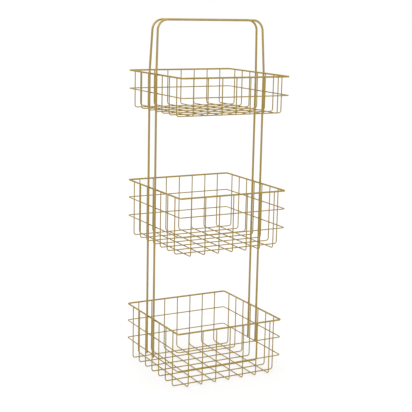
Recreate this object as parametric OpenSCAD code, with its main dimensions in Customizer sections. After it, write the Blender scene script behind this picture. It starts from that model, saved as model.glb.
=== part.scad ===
// Three-tier storage caddy of welded steel wire. Three square baskets hang one above the other
// between two tall hoops, which pass outside their left and right walls and form the handle.
// The origin is on the ground under the middle. X runs along the front, which faces -Y.

/* [Baskets] */
// Width of a basket along X, between the middle lines of its rings
basket_w = 280; // [200:5:380]
// Depth of a basket along Y, between the middle lines of its rings
basket_d = 280; // [200:5:380]
// Radius of a ring's corners, at the wire's middle line
ring_corner_r = 6; // [5:1:24]
// Height from one ring to the next
ring_step = 45.5; // [25:0.5:60]
// Height from the highest ring to the rim
rim_step = 43.5; // [25:0.5:60]

/* [Tiers] */
// Levels of open mesh in the wall of the top basket
top_levels = 2; // [2:1:3]
// Levels of open mesh in the wall of the middle basket
middle_levels = 3; // [2:1:3]
// Levels of open mesh in the wall of the bottom basket
bottom_levels = 3; // [2:1:3]
// Height of the middle basket's underside above the ground
middle_h = 315.5; // [200:0.5:450]
// Height of the top basket's underside above the ground
top_h = 633; // [500:0.5:650]
// Height from the top basket's underside to the middle line of its lowest ring
top_drop = 44.5; // [30:0.5:55]
// The same height in the middle basket
middle_drop = 48; // [30:0.5:55]
// The same height in the bottom basket
bottom_drop = 46.5; // [30:0.5:55]
// Which wires of the top basket's floor lie below the others
top_low_wires = "side_to_side"; // [side_to_side, front_to_back]
// Which wires of the middle basket's floor lie below the others
middle_low_wires = "front_to_back"; // [side_to_side, front_to_back]
// Which wires of the bottom basket's floor lie below the others
bottom_low_wires = "side_to_side"; // [side_to_side, front_to_back]

/* [Wires] */
// Bent wires in each direction of a basket
wires = 7; // [3:1:8]
// Distance from a ring's middle line to the first bent wire beside it
wire_margin = 30; // [26:1:45]
// Diameter of the bent wires
wire_d = 2.5; // [2:0.1:3.2]
// Diameter of the rings
ring_d = 2.5; // [2:0.1:3.2]
// Diameter of the rims
rim_d = 4; // [3.4:0.1:5]
// Radius of the bends between a basket's walls and its floor, at the wire's middle line
wire_bend_r = 6; // [4:0.5:15]
// Depth to which two wires sink into each other where they are welded
weld_sink = 0.2; // [0.1:0.05:0.3]
// How far the cut end of a bent wire passes up beside the underside of the rim
wire_tuck = 0.5; // [0.2:0.1:0.7]

/* [Hoops] */
// Overall height, from the ground to the top of the handle
hoop_h = 848; // [800:1:950]
// Diameter of the hoops' rod
rod_d = 5; // [4:0.1:7]
// Distance between the two hoops beside the baskets, between the rods' middle lines
leg_gap = 36; // [20:1:60]
// Distance between the two hoops at the handle, between the rods' middle lines
handle_gap = 26; // [12:1:36]
// How far each leg leans inward, along X, between the top rim and the handle
handle_draw = 5; // [0:0.5:12]
// Radius of the handle's corners, at the rod's middle line
handle_corner_r = 25; // [15:1:50]
// Height above the top rim at which the legs start to lean
knee_rise = 6; // [5:0.5:20]
// Radius of the slight bend at that height
knee_r = 60; // [20:5:80]
// How far a leg's cut end passes below the lowest ring
leg_tail = 4; // [1:0.5:8]

/* [Hidden] */
$fn = 48;
satin_gold = [0.66, 0.56, 0.35];

// Each tier has its name, the height of its underside, its levels of mesh, the height of its
// lowest ring above its underside and the direction of its lower floor wires
TIERS = [
  ["top", top_h, top_levels, top_drop, top_low_wires],
  ["middle", middle_h, middle_levels, middle_drop, middle_low_wires],
  ["bottom", 0, bottom_levels, bottom_drop, bottom_low_wires],
];

// The slanting lengths of a hoop pass by bend_seat into its bends, which are thicker by
// bend_swell, so that the lengths fuse into one rod. Both are too small to be seen.
bend_seat = 0.3;
bend_swell = 0.02;

// Half widths of a basket, and how far the other middle lines lie inside those of the rings
ring_x = basket_w / 2;
ring_y = basket_d / 2;
rim_inset = (rim_d - ring_d) / 2;
wire_inset = (ring_d + wire_d) / 2 - weld_sink;

// Middle lines of a floor's two layers above the basket's underside: the upper rests on the lower
low_floor_z = wire_d / 2;
high_floor_z = low_floor_z + wire_d - weld_sink;

// Places of a hoop's corners, for the half of the hoop on +X
leg_x = ring_x + (ring_d + rod_d) / 2 - weld_sink;
handle_x = leg_x - handle_draw;
leg_end_z = bottom_drop - leg_tail;
knee_z = top_h + rim_height(TIERS[0]) + knee_rise;
handle_z = hoop_h - rod_d / 2;

// Height of a rim above its basket's underside
function rim_height(tier) = ring_height(tier, tier[2] - 1) + rim_step;

// Height of a ring above its basket's underside, where ring 1 is the lowest
function ring_height(tier, ring) = tier[3] + (ring - 1) * ring_step;

// Height of the floor wires of one direction above their basket's underside
function floor_height(tier, direction) = tier[4] == direction ? low_floor_z : high_floor_z;

// Place of one bent wire across a basket of the given span
function wire_place(wire, span) =
  -span / 2 + wire_margin + (wire - 1) * (span - 2 * wire_margin) / (wires - 1);

function ring_name(tier, ring) = str(tier[0], "_ring_", ring);
function side_wire_name(tier, wire) = str(tier[0], "_side_to_side_wire_", wire);
function front_wire_name(tier, wire) = str(tier[0], "_front_to_back_wire_", wire);

function unit(v) = v / norm(v);

// Angle by which a path turns at the point p, on its way from a to b
function turn(a, p, b) = atan2(norm(cross(p - a, b - p)), (p - a) * (b - p));

// Length of straight path that a bend at p takes up on each side of p
function bend_reach(a, p, b, bend_r) = bend_r * tan(turn(a, p, b) / 2);

// Places the children with their X, Y and Z axes along the given unit vectors
module placed(at, x, y, z) {
  multmatrix([
    [x[0], y[0], z[0], at[0]],
    [x[1], y[1], z[1], at[1]],
    [x[2], y[2], z[2], at[2]],
    [0, 0, 0, 1],
  ])
    children();
}

// Straight length of round wire from a to b
module straight(a, b, d) {
  z = unit(b - a);
  x = unit(cross(abs(z[0]) < 0.5 ? [1, 0, 0] : [0, 1, 0], z));
  placed(a, x, cross(z, x), z)
    cylinder(d = d, h = norm(b - a));
}

// Bend of round wire at p, on its way from a to b
module bend(a, p, b, d, bend_r) {
  ahead = unit(p - a);
  axis = unit(cross(p - a, b - p));
  inward = cross(axis, ahead);
  start = p - bend_reach(a, p, b, bend_r) * ahead;
  placed(start + bend_r * inward, -inward, ahead, axis)
    rotate_extrude(angle = turn(a, p, b))
      translate([bend_r, 0])
        circle(d = d);
}

// Round wire of diameter d along a path of points, with a bend radius for each point. A closed
// path is joined from its last point to its first. The ends of an open one have the radius 0.
// Straight lengths meet the bends face to face, or with a seat they pass into thicker ones.
module bent_wire(path, d, radii, closed = false, seat = 0, swell = 0) {
  count = len(path);
  before = [for (i = [0:count - 1]) path[(i + count - 1) % count]];
  after = [for (i = [0:count - 1]) path[(i + 1) % count]];
  reach = [
    for (i = [0:count - 1])
      radii[i] > 0 ? bend_reach(before[i], path[i], after[i], radii[i]) - seat : 0
  ];
  for (i = [0:closed ? count - 1 : count - 2]) {
    ahead = unit(after[i] - path[i]);
    straight(path[i] + reach[i] * ahead, after[i] - reach[(i + 1) % count] * ahead, d);
  }
  for (i = [0:count - 1])
    if (radii[i] > 0 && turn(before[i], path[i], after[i]) > 0.01)
      bend(before[i], path[i], after[i], d + swell, radii[i]);
}

// Closed rectangular ring whose middle line lies inset within the rings' own
module ring(z, d, inset) {
  x = ring_x - inset;
  y = ring_y - inset;
  corner_r = ring_corner_r - inset;
  color(satin_gold)
    bent_wire(
      [[-x, -y, z], [x, -y, z], [x, y, z], [-x, y, z]],
      d, [for (corner = [1:4]) corner_r], closed = true
    );
}

module rim(tier) {
  ring(tier[1] + rim_height(tier), rim_d, rim_inset);
}

module mesh_ring(tier, number) {
  ring(tier[1] + ring_height(tier, number), ring_d, 0);
}

// U-shaped wire: up one wall, across the floor and up the opposite wall. It is drawn across
// the given half width, with its floor length at floor_z above the basket's underside.
module bent_u(tier, half, floor_z) {
  end_z = rim_height(tier) - rim_d / 2 + wire_tuck;
  x = half - wire_inset;
  color(satin_gold)
    translate([0, 0, tier[1]])
      bent_wire(
        [[-x, 0, end_z], [-x, 0, floor_z], [x, 0, floor_z], [x, 0, end_z]],
        wire_d, [0, wire_bend_r, wire_bend_r, 0]
      );
}

module side_to_side_wire(tier, wire) {
  translate([0, wire_place(wire, basket_d), 0])
    bent_u(tier, ring_x, floor_height(tier, "side_to_side"));
}

module front_to_back_wire(tier, wire) {
  translate([wire_place(wire, basket_w), 0, 0])
    rotate(90)
      bent_u(tier, ring_y, floor_height(tier, "front_to_back"));
}

// One hoop of thick rod: two straight legs beside the baskets, a slight knee above the top rim
// from which the legs lean inward and towards the other hoop, and two corners into the handle.
module hoop(side) {
  leg_y = side * leg_gap / 2;
  handle_y = side * handle_gap / 2;
  color(satin_gold)
    bent_wire(
      [
        [-leg_x, leg_y, leg_end_z],
        [-leg_x, leg_y, knee_z],
        [-handle_x, handle_y, handle_z],
        [handle_x, handle_y, handle_z],
        [leg_x, leg_y, knee_z],
        [leg_x, leg_y, leg_end_z],
      ],
      rod_d, [0, knee_r, handle_corner_r, handle_corner_r, knee_r, 0],
      seat = bend_seat, swell = bend_swell
    );
}

hoop(-1);  // front_hoop
hoop(1);  // back_hoop
for (tier = TIERS) {
  rim(tier);
  for (number = [1:tier[2] - 1])
    mesh_ring(tier, number);
  for (wire = [1:wires]) {
    side_to_side_wire(tier, wire);
    front_to_back_wire(tier, wire);
  }
}
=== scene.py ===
# Looks of the three-tier storage caddy: welded steel wire with a satin gold coat.
# Everything is in metres, in the part's own frame: +Z up, the front faces -Y. Each wire of the
# frame is redrawn as a finer tube along the same middle line, with its places read from the
# frame, and gets rounded cut ends, butt welds and the fillets of its welds.
import math

import bpy
from mathutils import Matrix, Vector


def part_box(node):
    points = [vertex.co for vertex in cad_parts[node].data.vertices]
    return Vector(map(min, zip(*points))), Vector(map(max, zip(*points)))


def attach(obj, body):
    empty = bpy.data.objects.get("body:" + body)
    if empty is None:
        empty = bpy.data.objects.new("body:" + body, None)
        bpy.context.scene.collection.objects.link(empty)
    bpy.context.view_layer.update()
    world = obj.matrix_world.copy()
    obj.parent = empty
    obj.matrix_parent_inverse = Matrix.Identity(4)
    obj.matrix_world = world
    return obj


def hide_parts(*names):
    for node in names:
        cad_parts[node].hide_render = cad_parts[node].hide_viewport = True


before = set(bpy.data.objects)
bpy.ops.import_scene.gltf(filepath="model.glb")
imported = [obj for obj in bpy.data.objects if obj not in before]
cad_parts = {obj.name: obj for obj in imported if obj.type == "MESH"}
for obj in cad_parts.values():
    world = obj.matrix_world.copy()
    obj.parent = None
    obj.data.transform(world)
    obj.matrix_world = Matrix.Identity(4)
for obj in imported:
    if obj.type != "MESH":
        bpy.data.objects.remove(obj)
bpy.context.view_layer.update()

MM = 0.001
TIERS = ("top", "middle", "bottom")
HOOPS = ("front_hoop", "back_hoop")
UP = Vector((0, 0, 1))

# Bends and other sizes that a box can't give, all at the wire's middle line
RING_CORNER_R = 6 * MM
WIRE_BEND_R = 6 * MM
HANDLE_CORNER_R = 25 * MM
KNEE_R = 60 * MM
KNEE_RISE = 6 * MM
HANDLE_DRAW = 5 * MM
ROD_R = 2.5 * MM

# How fine the tubes are: sides round them, the widest angle and the longest run between two
# samples of a bend, and how far beside a bend the straight lengths get their sample
WIRE_SIDES = 20
ROD_SIDES = 28
BEND_STEP = math.radians(9)
BEND_RUN = 2.2 * MM
BESIDE_BEND = 0.8 * MM

# Rounding of a cut end
END_ROUND = 0.35 * MM
END_STEPS = 4

# A ring is closed by a butt weld in the back wall, SEAM_X from its middle and so halfway
# between two wires: how far its upset stands proud, how far it reaches along the ring, and
# where the ring is sampled beside it
SEAM_X = 18.3 * MM
UPSET = 0.16 * MM
UPSET_REACH = 1.1 * MM
UPSET_PLACES = [0.4 * MM, 0.8 * MM, 1.3 * MM, 2.0 * MM, 3.0 * MM]

# A weld is a closed fillet: WELD_SIDES profiles round it, each a curve of WELD_STEPS steps that
# leaves both wires along their surfaces, pulled on by WELD_PULL. Where two wires cross, it ends
# where their surfaces are WELD_GAP apart, and it closes in a point inside each wire, NUGGET
# below the surface.
WELD_SIDES = 18
WELD_STEPS = 4
WELD_PULL = 0.34 * MM
WELD_GAP = 0.75 * MM
NUGGET = 0.3 * MM

# That edge is found by halving a range so many times, with divisions kept away from zero
HALVINGS = 30
NO_LESS = 1e-6

# The weld of a wire's end under the rim: how far it reaches past the wire on the rim's side,
# how far it runs down the wire, how far from the wire's middle line it starts on the other
# side, and how much its curve slants there
END_WELD_REACH = 0.5 * MM
END_WELD_DROP = 0.7 * MM
END_WELD_INSIDE = 0.4 * MM
END_WELD_SLANT = 0.2

# Colours of the coat, between which it drifts: the rods' pair, and for the basket wires, which
# have the same coat, a darker pair that is painted shade
ROD_TONES = ((0.364, 0.260, 0.078, 1.0), (0.453, 0.337, 0.112, 1.0))
SHADED_WIRE_TONES = ((0.332, 0.232, 0.048, 1.0), (0.415, 0.301, 0.072, 1.0))

# Tint of the metal seen at a low angle, where a flake coat turns darker
EDGE_TINT = (0.78, 0.72, 0.58, 1.0)

# The clear layer over the flakes, and the metal's roughness from one draw line to another
CLEAR_WEIGHT = 0.25
CLEAR_ROUGHNESS = 0.3
METAL_ROUGHNESS = (0.32, 0.46)

# Patterns of the coat, each with its scale, in cells to the metre, and its detail. The draw
# lines are scaled on a circle of radius 1 round the wire and LINE_STRETCH for each metre along.
DRIFT = (24.0, 2.0)
CLOUD = (240.0, 3.0)
SKIN = (900.0, 1.0)
LINES = (4.0, 4.0)
LINE_STRETCH = 9.0
FLAKE_SCALE = 5200.0

# The range that holds most of a noise
NOISE_LOW = 0.3
NOISE_HIGH = 0.7

# How far the drift, the cloud and each flake move the tone from the dark colour to the light
DRIFT_SHARE = 0.45
CLOUD_SHARE = 0.25
FLAKE_SHARE = 0.12

# Bumps, each with its strength and its height
SKIN_BUMP = (0.5, 0.05 * MM)
FLAKE_BUMP = (0.3, 0.02 * MM)
LINE_BUMP = (0.15, 0.03 * MM)

# The map that every tube carries: round it in U, from 0 to 1, and along it in V, in metres
WIRE_MAP = "along_wire"

# The photograph's view: the camera looks along +Y, turned VIEW_TURN to the right, tipped down
# by VIEW_TIP and rolled by VIEW_ROLL, through a lens of LENS_MM on a sensor of SENSOR_MM, and
# sees as far as VIEW_DEPTH.
VIEW_TURN = math.radians(28.74)
VIEW_TIP = math.radians(11.135)
VIEW_ROLL = math.radians(1.229)
CAMERA_AT = Vector((-1.1928, -2.1802, 0.8901))
LENS_MM = 91.31
SENSOR_MM = 36.0
VIEW_DEPTH = 100.0

# The floor, a pale disc just under the caddy, with its middle where the lamps light it most
FLOOR_AT = Vector((-0.25, -0.22, -0.05 * MM))
FLOOR_R = 12.0
FLOOR_SIDES = 96
FLOOR_TONE = 0.45

# Light, as strengths of plain white: that of the sky, and the glow that the floor has where it
# is seen, so that with the light on it it is just white. The glow grows from the floor's middle
# outwards, between two distances.
WHITE = (1.0, 1.0, 1.0, 1.0)
SKY_LIGHT = 0.55
GLOW_NEAR = 0.605
GLOW_FAR = 0.768
GLOW_GROWS = (0.0, 5.1)

# Square soft lamps: name, place, the point that they face, side and power in watts
LAMPS = (
    ("key", (-1.6, -1.5, 2.4), (0, 0, 0.5), 1.8, 22.0),
    ("fill", (2.1, -1.2, 1.6), (0, 0, 0.4), 1.6, 5.0),
    ("back", (0.3, 1.9, 2.3), (0, 0, 0.5), 1.8, 12.0),
    ("top", (0, 0, 3.0), (0, 0.01, 0.5), 1.8, 14.0),
)


def link(obj):
    bpy.context.scene.collection.objects.link(obj)
    return obj


# Tubes

def rounded(path, radii, closed):
    """Samples [place, direction] along a path of corners, each rounded to its radius. The
    straight lengths get a sample just beside each bend, so that its shading stays in it."""
    count = len(path)
    samples = []
    for i, corner in enumerate(path):
        before = path[i - 1] if closed or i > 0 else None
        after = path[(i + 1) % count] if closed or i < count - 1 else None
        arrive = (corner - before).normalized() if before else None
        leave = (after - corner).normalized() if after else None
        if radii[i] == 0:
            samples.append([corner.copy(), leave or arrive])
            continue
        turn = arrive.angle(leave)
        reach = radii[i] * math.tan(turn / 2)
        axis = arrive.cross(leave).normalized()
        start = corner - arrive * reach
        centre = start + axis.cross(arrive) * radii[i]
        samples.append([start - arrive * BESIDE_BEND, arrive])
        steps = max(2, math.ceil(turn / BEND_STEP), math.ceil(turn * radii[i] / BEND_RUN))
        for k in range(steps + 1):
            spin = Matrix.Rotation(turn * k / steps, 3, axis)
            samples.append([centre + spin @ (start - centre), spin @ arrive])
        samples.append([corner + leave * (reach + BESIDE_BEND), leave])
    return samples


def cut_end(place, ahead, radius, towards):
    """Samples [place, direction, radius] of a rounded end. towards is 1 at the wire's last
    sample and -1 at its first, and the samples run in the wire's own direction."""
    samples = []
    for k in range(END_STEPS + 1):
        lean = math.pi / 2 * k / END_STEPS
        back = END_ROUND * (1 - math.sin(lean))
        narrower = END_ROUND * (1 - math.cos(lean))
        samples.append([place - ahead * towards * back, ahead, radius - narrower])
    return samples if towards > 0 else samples[::-1]


def upset_radius(radius, distance):
    """Radius of a ring at a distance from its butt weld."""
    return radius + UPSET * math.exp(-((distance / UPSET_REACH) ** 2))


def open_samples(path, radii, radius):
    """Samples of a wire with two cut ends."""
    line = rounded(path, radii, closed=False)
    middle = [[place, ahead, radius] for place, ahead in line[1:-1]]
    return cut_end(*line[0], radius, -1) + middle + cut_end(*line[-1], radius, 1)


def closed_samples(path, radii, radius):
    """Samples of a closed ring whose first corner, of radius 0, is its butt weld."""
    line = rounded(path, radii, closed=True)
    (seam, ahead), rest = line[0], line[1:]
    after = [[seam + ahead * d, ahead, upset_radius(radius, d)] for d in [0] + UPSET_PLACES]
    before = [[seam - ahead * d, ahead, upset_radius(radius, d)] for d in UPSET_PLACES[::-1]]
    return after + [[place, way, radius] for place, way in rest] + before


def tube(name, samples, sides, closed):
    """A smooth tube round its samples, with its map."""
    across = samples[0][1].orthogonal().normalized()
    points = []
    passed = [0.0]
    for i, (place, ahead, radius) in enumerate(samples):
        if i:
            across = samples[i - 1][1].rotation_difference(ahead) @ across
            across = (across - ahead * across.dot(ahead)).normalized()
            passed.append(passed[-1] + (place - samples[i - 1][0]).length)
        side = ahead.cross(across)
        for k in range(sides):
            spin = 2 * math.pi * k / sides
            points.append(place + radius * (math.cos(spin) * across + math.sin(spin) * side))
    count = len(samples)
    faces = []
    places_in_map = []
    for i in range(count if closed else count - 1):
        j = (i + 1) % count
        low = passed[i]
        high = passed[j] if j else passed[i] + (samples[0][0] - samples[i][0]).length
        for k in range(sides):
            m = (k + 1) % sides
            faces.append((i * sides + k, i * sides + m, j * sides + m, j * sides + k))
            left, right = k / sides, (k + 1) / sides
            places_in_map += [(left, low), (right, low), (right, high), (left, high)]
    if not closed:
        for end, flip in ((0, True), (count - 1, False)):
            points.append(samples[end][0])
            for k in range(sides):
                m = (k + 1) % sides
                edge = (end * sides + k, end * sides + m)
                faces.append((*(edge[::-1] if flip else edge), len(points) - 1))
                here = passed[end]
                places_in_map += [(k / sides, here), (m / sides, here), (k / sides, here)]
    mesh = bpy.data.meshes.new(name)
    mesh.from_pydata(points, [], faces)
    mesh.shade_smooth()
    along = mesh.uv_layers.new(name=WIRE_MAP)
    for corner, place in zip(along.data, places_in_map):
        corner.uv = place
    return link(bpy.data.objects.new(name, mesh))


# Places of the wires, read from the frame

def nodes_of(tier, kind):
    """The CAD nodes of one kind in a tier, in the order of their numbers."""
    start = f"{tier}_{kind}_"
    return sorted(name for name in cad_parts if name.startswith(start))


def ring_sizes(node):
    """Half widths (along X, along Y), height and radius of a closed ring or rim."""
    low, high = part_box(node)
    radius = (high.z - low.z) / 2
    return (high.x - radius, high.y - radius), low.z + radius, radius


def bent_sizes(node, across):
    """Place across, half width, floor height, end height and radius of a bent wire. across is
    0 or 1 for X or Y, the axis along which such wires stand side by side."""
    low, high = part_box(node)
    radius = (high[across] - low[across]) / 2
    half = high[1 - across] - radius
    return low[across] + radius, half, low.z + radius, high.z, radius


def wire_point(across, place, run, z):
    """Point of a bent wire, at its place across and at a run along the other axis."""
    return Vector((place, run, z)) if across == 0 else Vector((run, place, z))


def hoop_places(node):
    """Places of a hoop's legs and handle: half width, Y of the legs, Y of the handle, height
    of the legs' ends and height of the handle, at the rod's middle line."""
    low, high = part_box(node)
    leg_y, handle_y = low.y + ROD_R, high.y - ROD_R
    # The legs stand further from the middle than the handle does
    if abs(leg_y) < abs(handle_y):
        leg_y, handle_y = handle_y, leg_y
    return high.x - ROD_R, leg_y, handle_y, low.z, high.z - ROD_R


# The welded wires

def finish_piece(obj, material, node=None):
    obj.data.materials.append(material)
    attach(obj, "root")
    if node:
        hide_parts(node)


def make_ring(node, material):
    """A ring or rim. A thicker one lies further in, so that its corners are tighter."""
    (half_x, half_y), z, radius = ring_sizes(node)
    ring_radius = ring_sizes("top_ring_1")[2]
    corner_r = RING_CORNER_R - (radius - ring_radius)
    path = [
        Vector((SEAM_X, half_y, z)),
        Vector((-half_x, half_y, z)), Vector((-half_x, -half_y, z)),
        Vector((half_x, -half_y, z)), Vector((half_x, half_y, z)),
    ]
    samples = closed_samples(path, [0] + [corner_r] * 4, radius)
    obj = tube(f"{node}_coated", samples, WIRE_SIDES, closed=True)
    finish_piece(obj, material, node)


def make_bent_wire(node, across, material):
    place, half, floor_z, end_z, radius = bent_sizes(node, across)
    corners = [(-half, end_z), (-half, floor_z), (half, floor_z), (half, end_z)]
    path = [wire_point(across, place, run, z) for run, z in corners]
    samples = open_samples(path, [0, WIRE_BEND_R, WIRE_BEND_R, 0], radius)
    obj = tube(f"{node}_coated", samples, WIRE_SIDES, closed=False)
    finish_piece(obj, material, node)


def make_hoop(node, material):
    leg_x, leg_y, handle_y, end_z, handle_z = hoop_places(node)
    handle_x = leg_x - HANDLE_DRAW
    knee_z = ring_sizes("top_rim")[1] + KNEE_RISE
    path = [
        Vector((-leg_x, leg_y, end_z)), Vector((-leg_x, leg_y, knee_z)),
        Vector((-handle_x, handle_y, handle_z)), Vector((handle_x, handle_y, handle_z)),
        Vector((leg_x, leg_y, knee_z)), Vector((leg_x, leg_y, end_z)),
    ]
    radii = [0, KNEE_R, HANDLE_CORNER_R, HANDLE_CORNER_R, KNEE_R, 0]
    obj = tube(f"{node}_coated", open_samples(path, radii, ROD_R), ROD_SIDES, closed=False)
    finish_piece(obj, material, node)


# Welds

def weld_curve(a, b, c, d):
    """Points of the smooth curve from a to d that leaves them towards b and c."""
    points = []
    for k in range(WELD_STEPS + 1):
        t = k / WELD_STEPS
        s = 1 - t
        points.append(a * s**3 + b * (3 * s * s * t) + c * (3 * s * t * t) + d * t**3)
    return points


def crossing_gap(reach, spin, radius_a, radius_b, apart):
    """Height of wire a's underside and wire b's top at a reach from the crossing, above b's
    middle line. spin is 0 along wire a."""
    under_a = apart - math.sqrt(max(radius_a**2 - (reach * math.sin(spin)) ** 2, 0))
    over_b = math.sqrt(max(radius_b**2 - (reach * math.cos(spin)) ** 2, 0))
    return under_a, over_b


def crossing_edge(spin, radius_a, radius_b, apart):
    """Reach of a crossing's fillet at a spin, and the heights of the two surfaces there."""
    nearest = 0.0
    past_a = radius_a / max(abs(math.sin(spin)), NO_LESS)
    past_b = radius_b / max(abs(math.cos(spin)), NO_LESS)
    farthest = min(past_a, past_b)
    for _ in range(HALVINGS):
        reach = (nearest + farthest) / 2
        under_a, over_b = crossing_gap(reach, spin, radius_a, radius_b, apart)
        if under_a - over_b > WELD_GAP:
            farthest = reach
        else:
            nearest = reach
    return reach, under_a, over_b


def crossing_weld(at_a, way_a, radius_a, at_b, radius_b):
    """Weld between wire a and wire b, which cross at right angles."""
    out = (at_a - at_b).normalized()
    apart = (at_a - at_b).length
    way_b = out.cross(way_a)
    profiles = []
    for i in range(WELD_SIDES):
        spin = 2 * math.pi * i / WELD_SIDES
        reach, under_a, over_b = crossing_edge(spin, radius_a, radius_b, apart)
        on_a = Vector((reach, under_a))
        on_b = Vector((reach, over_b))
        # Slopes of the two surfaces, from which the curve leaves them inwards
        slope_a = reach * math.sin(spin) ** 2 / (apart - under_a)
        slope_b = -reach * math.cos(spin) ** 2 / over_b
        pull_a = Vector((1, slope_a)).normalized() * WELD_PULL
        pull_b = Vector((1, slope_b)).normalized() * WELD_PULL
        way = math.cos(spin) * way_a + math.sin(spin) * way_b
        curve = weld_curve(on_a, on_a - pull_a, on_b - pull_b, on_b)
        profiles.append([at_b + way * p.x + out * p.y for p in curve])
    inside_a = at_a - out * (radius_a - NUGGET)
    inside_b = at_b + out * (radius_b - NUGGET)
    return profiles, inside_a, inside_b


def end_weld(end, radius, rim_at, rim_r):
    """Weld that holds the end of an upright wire under the rim. end is the middle of the
    wire's cut end, and rim_at the point of the rim's middle line beside it."""
    outward = rim_at - end
    rise = outward.z
    outward.z = 0
    inset = outward.length
    outward.normalize()
    along = UP.cross(outward)
    base = Vector((end.x, end.y, rim_at.z))
    far = radius + END_WELD_REACH

    def rim_under(x):
        return -math.sqrt(max(rim_r**2 - (x - inset) ** 2, 0))

    profiles = []
    for i in range(WELD_SIDES):
        spin = 2 * math.pi * i / WELD_SIDES
        cosine, sine = math.cos(spin), math.sin(spin)
        if cosine > 0:
            x = far * cosine
            inward = Vector((-cosine, -sine, 0))
        else:
            x = END_WELD_INSIDE * cosine
            inward = Vector((-cosine * END_WELD_SLANT, -sine, -abs(cosine))).normalized()
        join_z = min(-rise, rim_under(radius * cosine))
        on_rim = Vector((x, far * sine, rim_under(x)))
        curve = weld_curve(
            Vector((radius * cosine, radius * sine, join_z - END_WELD_DROP)),
            Vector((radius * cosine, radius * sine, join_z)),
            on_rim + inward * WELD_PULL,
            on_rim,
        )
        profiles.append([base + outward * p.x + along * p.y + UP * p.z for p in curve][::-1])
    inside_rim = base + outward * inset / 2 - UP * rim_r / 2
    inside_wire = end - UP * (END_WELD_DROP + radius)
    return profiles, inside_rim, inside_wire


def add_weld(points, faces, profiles, inside_a, inside_b):
    """Adds a weld to a mesh: one profile for each side, from wire a to wire b, and its two
    mouths closed to a point inside each wire. Returns the edges of the mouths."""
    first = len(points)
    sides, steps = len(profiles), len(profiles[0]) - 1
    for profile in profiles:
        points += profile
    points += [inside_a, inside_b]
    apex_a, apex_b = len(points) - 2, len(points) - 1
    mouths = []
    for i in range(sides):
        here = first + i * (steps + 1)
        there = first + (i + 1) % sides * (steps + 1)
        for k in range(steps):
            faces.append((here + k, here + k + 1, there + k + 1, there + k))
        faces.append((apex_a, here, there))
        faces.append((apex_b, there + steps, here + steps))
        mouths += [(here, there), (here + steps, there + steps)]
    return mouths


def make_welds(name, welds, material):
    """One piece from a list of welds, each one (profiles, point in a, point in b)."""
    points, faces, mouths = [], [], set()
    for weld in welds:
        mouths.update(tuple(sorted(edge)) for edge in add_weld(points, faces, *weld))
    mesh = bpy.data.meshes.new(name)
    mesh.from_pydata(points, [], faces)
    mesh.shade_smooth()
    sharp = mesh.attributes.new("sharp_edge", "BOOLEAN", "EDGE")
    for edge in mesh.edges:
        sharp.data[edge.index].value = tuple(sorted(edge.vertices)) in mouths
    mesh.uv_layers.new(name=WIRE_MAP)
    obj = link(bpy.data.objects.new(name, mesh))
    finish_piece(obj, material)


def floor_welds(along_x, along_y):
    """Welds where the wires of a basket's floor cross."""
    welds = []
    for y, _, side_z, _, side_r in along_x:
        for x, _, front_z, _, front_r in along_y:
            at_side = Vector((x, y, side_z))
            at_front = Vector((x, y, front_z))
            welds.append(crossing_weld(at_front, Vector((0, 1, 0)), front_r, at_side, side_r))
    return welds


def ring_welds(wires, across, rings):
    """Welds of bent wires to the rings of their basket."""
    welds = []
    for place, half, _, _, wire_r in wires:
        for side in (-1, 1):
            for ring_half, z, ring_r in rings:
                at_wire = wire_point(across, place, side * half, z)
                at_ring = wire_point(across, place, side * ring_half[1 - across], z)
                welds.append(crossing_weld(at_wire, UP, wire_r, at_ring, ring_r))
    return welds


def rim_welds(wires, across, rim):
    """Welds of the ends of bent wires to the rim of their basket."""
    rim_half, rim_z, rim_r = rim
    welds = []
    for place, half, _, end_z, wire_r in wires:
        for side in (-1, 1):
            end = wire_point(across, place, side * half, end_z)
            rim_at = wire_point(across, place, side * rim_half[1 - across], rim_z)
            welds.append(end_weld(end, wire_r, rim_at, rim_r))
    return welds


def leg_welds(rings):
    """Welds of the hoops' legs to the rings and the rim of a basket."""
    welds = []
    for node in HOOPS:
        leg_x, leg_y, _, _, _ = hoop_places(node)
        for side in (-1, 1):
            for (half_x, _), z, ring_r in rings:
                at_leg = Vector((side * leg_x, leg_y, z))
                at_ring = Vector((side * half_x, leg_y, z))
                welds.append(crossing_weld(at_leg, UP, ROD_R, at_ring, ring_r))
    return welds


def weld_tier(tier, rod_gold, shaded_wire_gold):
    along_x = [bent_sizes(node, 1) for node in nodes_of(tier, "side_to_side_wire")]
    along_y = [bent_sizes(node, 0) for node in nodes_of(tier, "front_to_back_wire")]
    rings = [ring_sizes(node) for node in nodes_of(tier, "ring")]
    rim = ring_sizes(f"{tier}_rim")
    floor = floor_welds(along_x, along_y)
    walls = ring_welds(along_x, 1, rings) + ring_welds(along_y, 0, rings)
    ends = rim_welds(along_x, 1, rim) + rim_welds(along_y, 0, rim)
    make_welds(f"{tier}_floor_welds", floor, shaded_wire_gold)
    make_welds(f"{tier}_wall_welds", walls, shaded_wire_gold)
    make_welds(f"{tier}_rim_welds", ends, shaded_wire_gold)
    make_welds(f"{tier}_leg_welds", leg_welds(rings + [rim]), rod_gold)


# Shader parts, each of which returns its output

def maths(tree, operation, *values):
    """An operation on one or two values, each a plain number or the output of a node."""
    node = tree.nodes.new("ShaderNodeMath")
    node.operation = operation
    for socket, value in zip(node.inputs, values):
        if isinstance(value, float):
            socket.default_value = value
        else:
            tree.links.new(value, socket)
    return node.outputs[0]


def ranged(tree, value, from_range, to_range, smooth=False):
    """A value mapped from one range to another and kept within it."""
    node = tree.nodes.new("ShaderNodeMapRange")
    if smooth:
        node.interpolation_type = "SMOOTHSTEP"
    node.inputs["From Min"].default_value = from_range[0]
    node.inputs["From Max"].default_value = from_range[1]
    node.inputs["To Min"].default_value = to_range[0]
    node.inputs["To Max"].default_value = to_range[1]
    tree.links.new(value, node.inputs["Value"])
    return node.outputs["Result"]


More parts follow.
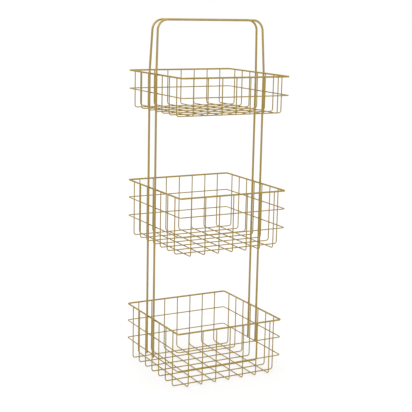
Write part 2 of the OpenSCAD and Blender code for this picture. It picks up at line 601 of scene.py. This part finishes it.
def spread(tree, value, low, high):
    """A noise brought to the range from low to high. A flake's own value runs from 0 to 1, so
    that many flakes take one end of the range or the other."""
    return ranged(tree, value, (NOISE_LOW, NOISE_HIGH), (low, high))


def noise(tree, vector, scale, detail):
    node = tree.nodes.new("ShaderNodeTexNoise")
    node.inputs["Scale"].default_value = scale
    node.inputs["Detail"].default_value = detail
    tree.links.new(vector, node.inputs["Vector"])
    return node.outputs["Fac"]


def bump(tree, height, strength, distance, before=None):
    node = tree.nodes.new("ShaderNodeBump")
    node.inputs["Strength"].default_value = strength
    node.inputs["Distance"].default_value = distance
    tree.links.new(height, node.inputs["Height"])
    if before:
        tree.links.new(before, node.inputs["Normal"])
    return node.outputs["Normal"]


def draw_lines(tree):
    """The lines that drawing leaves along a wire. The map round the wire is turned into a
    circle, so that they have no seam."""
    wire_map = tree.nodes.new("ShaderNodeUVMap")
    wire_map.uv_map = WIRE_MAP
    split = tree.nodes.new("ShaderNodeSeparateXYZ")
    tree.links.new(wire_map.outputs["UV"], split.inputs[0])
    spin = maths(tree, "MULTIPLY", split.outputs["X"], 2 * math.pi)
    circle = tree.nodes.new("ShaderNodeCombineXYZ")
    tree.links.new(maths(tree, "COSINE", spin), circle.inputs["X"])
    tree.links.new(maths(tree, "SINE", spin), circle.inputs["Y"])
    tree.links.new(maths(tree, "MULTIPLY", split.outputs["Y"], LINE_STRETCH), circle.inputs["Z"])
    return noise(tree, circle.outputs[0], *LINES)


def seen(tree):
    """1 for rays from the camera, in reflections and through glass, and 0 for the rest."""
    path = tree.nodes.new("ShaderNodeLightPath")
    value = path.outputs["Is Camera Ray"]
    for kind in ("Is Glossy Ray", "Is Transmission Ray"):
        value = maths(tree, "MAXIMUM", value, path.outputs[kind])
    return value


# Finish

def satin_gold(name, dark, light):
    """Satin metallic coat: fine flakes, each a little darker or lighter, under a skin that is
    not quite smooth, faint draw lines of the wire below, and a slow drift of tone along it."""
    material = bpy.data.materials.new(name)
    material.use_nodes = True
    tree = material.node_tree
    metal = tree.nodes["Principled BSDF"]
    metal.inputs["Metallic"].default_value = 1.0
    metal.inputs["Specular Tint"].default_value = EDGE_TINT
    metal.inputs["Coat Weight"].default_value = CLEAR_WEIGHT
    metal.inputs["Coat Roughness"].default_value = CLEAR_ROUGHNESS

    place = tree.nodes.new("ShaderNodeTexCoord").outputs["Object"]
    lines = draw_lines(tree)
    drift = noise(tree, place, *DRIFT)
    cloud = noise(tree, place, *CLOUD)
    skin = noise(tree, place, *SKIN)
    flakes = tree.nodes.new("ShaderNodeTexVoronoi")
    flakes.inputs["Scale"].default_value = FLAKE_SCALE
    tree.links.new(place, flakes.inputs["Vector"])
    one_flake = tree.nodes.new("ShaderNodeSeparateColor")
    tree.links.new(flakes.outputs["Color"], one_flake.inputs[0])

    mixed = spread(tree, drift, 0.0, DRIFT_SHARE)
    mixed = maths(tree, "ADD", mixed, spread(tree, cloud, 0.0, CLOUD_SHARE))
    mixed = maths(tree, "ADD", mixed, spread(tree, one_flake.outputs["Red"], 0.0, FLAKE_SHARE))
    tone = tree.nodes.new("ShaderNodeMix")
    tone.data_type = "RGBA"
    tone.inputs["A"].default_value = dark
    tone.inputs["B"].default_value = light
    tree.links.new(mixed, tone.inputs["Factor"])
    tree.links.new(tone.outputs["Result"], metal.inputs["Base Color"])

    tree.links.new(spread(tree, lines, *METAL_ROUGHNESS), metal.inputs["Roughness"])
    normal = bump(tree, skin, *SKIN_BUMP)
    normal = bump(tree, flakes.outputs["Distance"], *FLAKE_BUMP, normal)
    normal = bump(tree, lines, *LINE_BUMP, normal)
    tree.links.new(normal, metal.inputs["Normal"])
    return material


# Studio

def make_camera():
    data = bpy.data.cameras.new("camera")
    data.lens = LENS_MM
    data.sensor_width = SENSOR_MM
    data.sensor_fit = "HORIZONTAL"
    data.clip_end = VIEW_DEPTH
    camera = link(bpy.data.objects.new("camera", data))
    turn = Matrix.Rotation(-VIEW_TURN, 4, "Z")
    tip = Matrix.Rotation(math.pi / 2 - VIEW_TIP, 4, "X")
    roll = Matrix.Rotation(VIEW_ROLL, 4, "Z")
    camera.matrix_world = Matrix.Translation(CAMERA_AT) @ turn @ tip @ roll
    bpy.context.scene.camera = camera


def make_world():
    """A soft sky that lights the caddy, and in its place a plain white one where it is seen."""
    world = bpy.data.worlds.new("studio")
    bpy.context.scene.world = world
    world.use_nodes = True
    tree = world.node_tree
    tree.nodes.clear()
    sky = tree.nodes.new("ShaderNodeBackground")
    sky.inputs["Color"].default_value = WHITE
    sky.inputs["Strength"].default_value = SKY_LIGHT
    backdrop = tree.nodes.new("ShaderNodeBackground")
    backdrop.inputs["Color"].default_value = WHITE
    mix = tree.nodes.new("ShaderNodeMixShader")
    out = tree.nodes.new("ShaderNodeOutputWorld")
    tree.links.new(seen(tree), mix.inputs["Fac"])
    tree.links.new(sky.outputs[0], mix.inputs[1])
    tree.links.new(backdrop.outputs[0], mix.inputs[2])
    tree.links.new(mix.outputs[0], out.inputs["Surface"])


def floor_white():
    material = bpy.data.materials.new("floor")
    material.use_nodes = True
    tree = material.node_tree
    tree.nodes.clear()
    white = tree.nodes.new("ShaderNodeBsdfDiffuse")
    white.inputs["Color"].default_value = (FLOOR_TONE, FLOOR_TONE, FLOOR_TONE, 1.0)
    place = tree.nodes.new("ShaderNodeTexCoord")
    distance = tree.nodes.new("ShaderNodeVectorMath")
    distance.operation = "LENGTH"
    tree.links.new(place.outputs["Object"], distance.inputs[0])
    grown = ranged(
        tree, distance.outputs["Value"], GLOW_GROWS, (GLOW_NEAR, GLOW_FAR), smooth=True)
    glow = tree.nodes.new("ShaderNodeEmission")
    glow.inputs["Color"].default_value = WHITE
    tree.links.new(maths(tree, "MULTIPLY", seen(tree), grown), glow.inputs["Strength"])
    both = tree.nodes.new("ShaderNodeAddShader")
    out = tree.nodes.new("ShaderNodeOutputMaterial")
    tree.links.new(white.outputs[0], both.inputs[0])
    tree.links.new(glow.outputs[0], both.inputs[1])
    tree.links.new(both.outputs[0], out.inputs["Surface"])
    return material


def make_floor():
    """A round white floor that keeps the soft shadow and fades into the white backdrop."""
    spins = [2 * math.pi * k / FLOOR_SIDES for k in range(FLOOR_SIDES)]
    points = [(FLOOR_R * math.cos(spin), FLOOR_R * math.sin(spin), 0) for spin in spins]
    mesh = bpy.data.meshes.new("floor")
    mesh.from_pydata(points, [], [range(FLOOR_SIDES)])
    mesh.materials.append(floor_white())
    floor = link(bpy.data.objects.new("floor", mesh))
    floor.location = FLOOR_AT


def make_lamp(name, at, target, size, power):
    """A lamp that the camera can't see."""
    data = bpy.data.lights.new(name, "AREA")
    data.shape = "SQUARE"
    data.size = size
    data.energy = power
    lamp = link(bpy.data.objects.new(name, data))
    aim = (Vector(target) - Vector(at)).to_track_quat("-Z", "Y")
    lamp.matrix_world = Matrix.LocRotScale(Vector(at), aim, None)
    lamp.visible_camera = False


make_camera()
make_world()
make_floor()
for lamp in LAMPS:
    make_lamp(*lamp)

rod_gold = satin_gold("rod_gold", *ROD_TONES)
# The basket wires' material is a darker copy of the rods' coat: painted shade
shaded_wire_gold = satin_gold("shaded_wire_gold", *SHADED_WIRE_TONES)
for hoop in HOOPS:
    make_hoop(hoop, rod_gold)
for tier in TIERS:
    make_ring(f"{tier}_rim", shaded_wire_gold)
    for node in nodes_of(tier, "ring"):
        make_ring(node, shaded_wire_gold)
    for node in nodes_of(tier, "side_to_side_wire"):
        make_bent_wire(node, 1, shaded_wire_gold)
    for node in nodes_of(tier, "front_to_back_wire"):
        make_bent_wire(node, 0, shaded_wire_gold)
    weld_tier(tier, rod_gold, shaded_wire_gold)

bpy.context.scene.view_settings.view_transform = "Standard"
